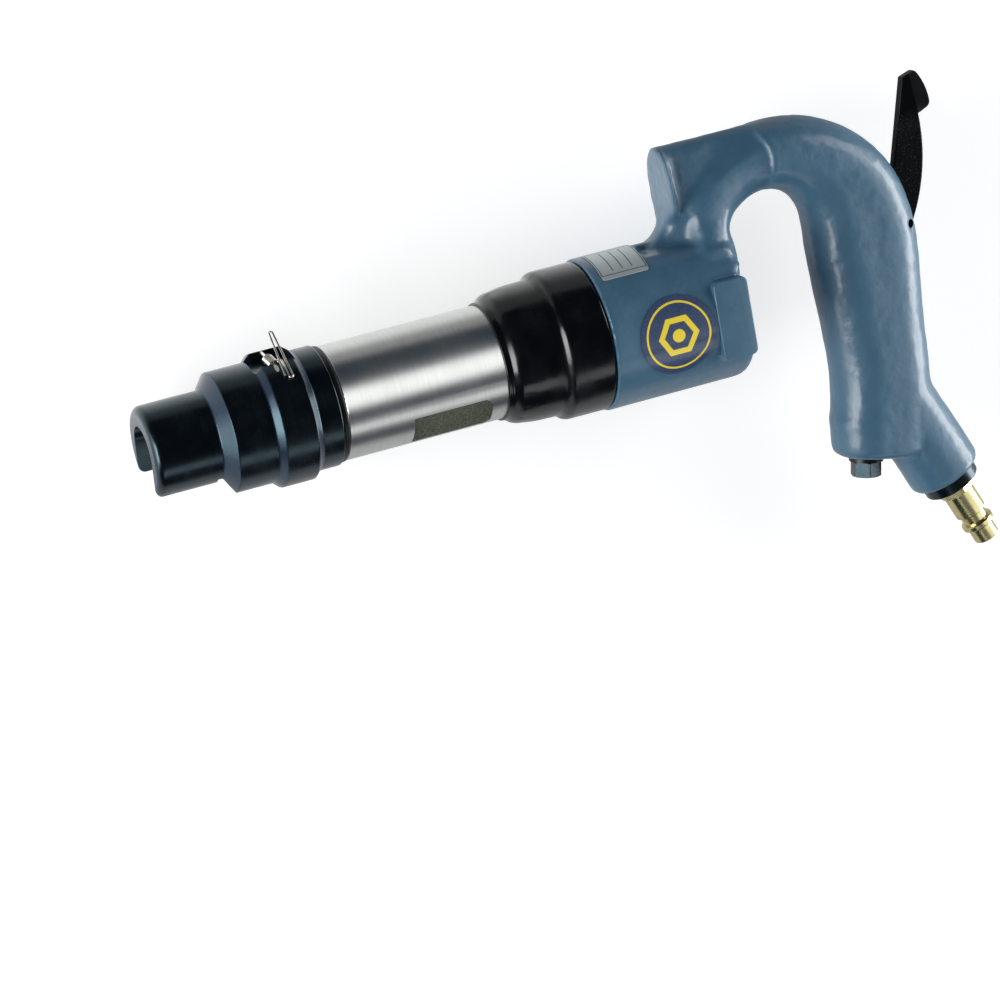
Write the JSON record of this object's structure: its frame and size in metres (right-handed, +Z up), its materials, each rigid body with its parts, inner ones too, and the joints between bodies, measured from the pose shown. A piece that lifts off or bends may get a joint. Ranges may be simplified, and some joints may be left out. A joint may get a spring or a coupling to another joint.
{
  "type": "pneumatic chisel hammer",
  "caption": "Compressed-air chisel hammer with a hooped cast handle, thumb lever, steel barrel, rubber exhaust sleeve, slotted nose retainer with a wire latch, and an air coupling plug.",
  "frame": {"origin": "on the barrel axis at the front face of the tool bushing, where the working tool's shank enters", "axes": "the tool lies on its side: +X along the barrel from the nose to the handle, +Y towards the handle's arch and the lever, +Z up from the floor, out of the side with the round badge"},
  "size_m": [0.3395, 0.1957, 0.0616],
  "materials": {
    "casting_paint": "satin gloss over a cast skin",
    "badge_foil": "gloss foil",
    "plate_foil": "satin foil",
    "barrel_steel": "fine turned",
    "inner_steel": "ground",
    "spring_steel": "bright drawn wire",
    "black_steel": "black oxide, satin",
    "lever_black": "black, fine grain",
    "bronze": "machined",
    "poppet_plastic": "machined",
    "plated_brass": "nickel plated, warm",
    "rubber": "smooth"
  },
  "bodies": {
    "tool_body": {"handle_casting": "casting_paint", "badge_plate": "badge_foil", "rating_plate": "plate_foil", "barrel": "barrel_steel", "barrel_lock_ring": "inner_steel", "exhaust_sleeve": "rubber", "retainer": "black_steel", "retainer_seal": "rubber", "retainer_buffer": "rubber", "latch_pin": "spring_steel", "tool_bushing": "inner_steel", "valve_front_plate": "inner_steel", "valve_box": "inner_steel", "valve_box_seal": "rubber", "valve_dowels": "inner_steel", "lever_pin": "black_steel", "rod_guide": "bronze", "rod_seal": "rubber", "valve_seat": "bronze", "valve_spring": "spring_steel", "valve_cap": "black_steel", "cap_seal": "rubber", "inlet_bushing": "black_steel", "inlet_strainer": "bronze", "coupling_plug": "plated_brass"},
    "piston": {"piston": "inner_steel"},
    "distribution_valve": {"distribution_valve": "inner_steel"},
    "throttle_lever": {"throttle_lever": "lever_black"},
    "throttle_valve": {"push_rod": "inner_steel", "throttle_poppet": "poppet_plastic"},
    "latch_spring": {"latch_spring": "spring_steel"}
  },
  "joints": [
    {"name": "lever_pivot", "type": "hinge", "parent": "tool_body", "child": "throttle_lever", "pos_m": [0.2722, 0.0132, 0], "axis": [0, 0, 1], "range_deg": [0, 16], "stiffness_Nm_per_rad": 0.8, "springref_deg": -5.73},
    {"name": "throttle_slide", "type": "slide", "parent": "tool_body", "child": "throttle_valve", "axis": [-0.1736, -0.9848, 0], "range_m": [0, 0.004], "deforming": ["valve_spring"]},
    {"name": "piston_stroke", "type": "slide", "parent": "tool_body", "child": "piston", "axis": [1, 0, 0], "range_m": [0, 0.045]},
    {"name": "distribution_slide", "type": "slide", "parent": "tool_body", "child": "distribution_valve", "axis": [1, 0, 0], "range_m": [0, 0.0045]},
    {"name": "latch_hinge", "type": "hinge", "parent": "tool_body", "child": "latch_spring", "pos_m": [0.0075, 0.02371, 0.00375], "axis": [0, -0.1564, 0.9877], "range_deg": [0, 25], "stiffness_Nm_per_rad": 0.08, "springref_deg": -11.46}
  ],
  "couplings": [
    {"joint": "throttle_slide", "follows": "lever_pivot", "m_per_rad": 0.01415}
  ]
}
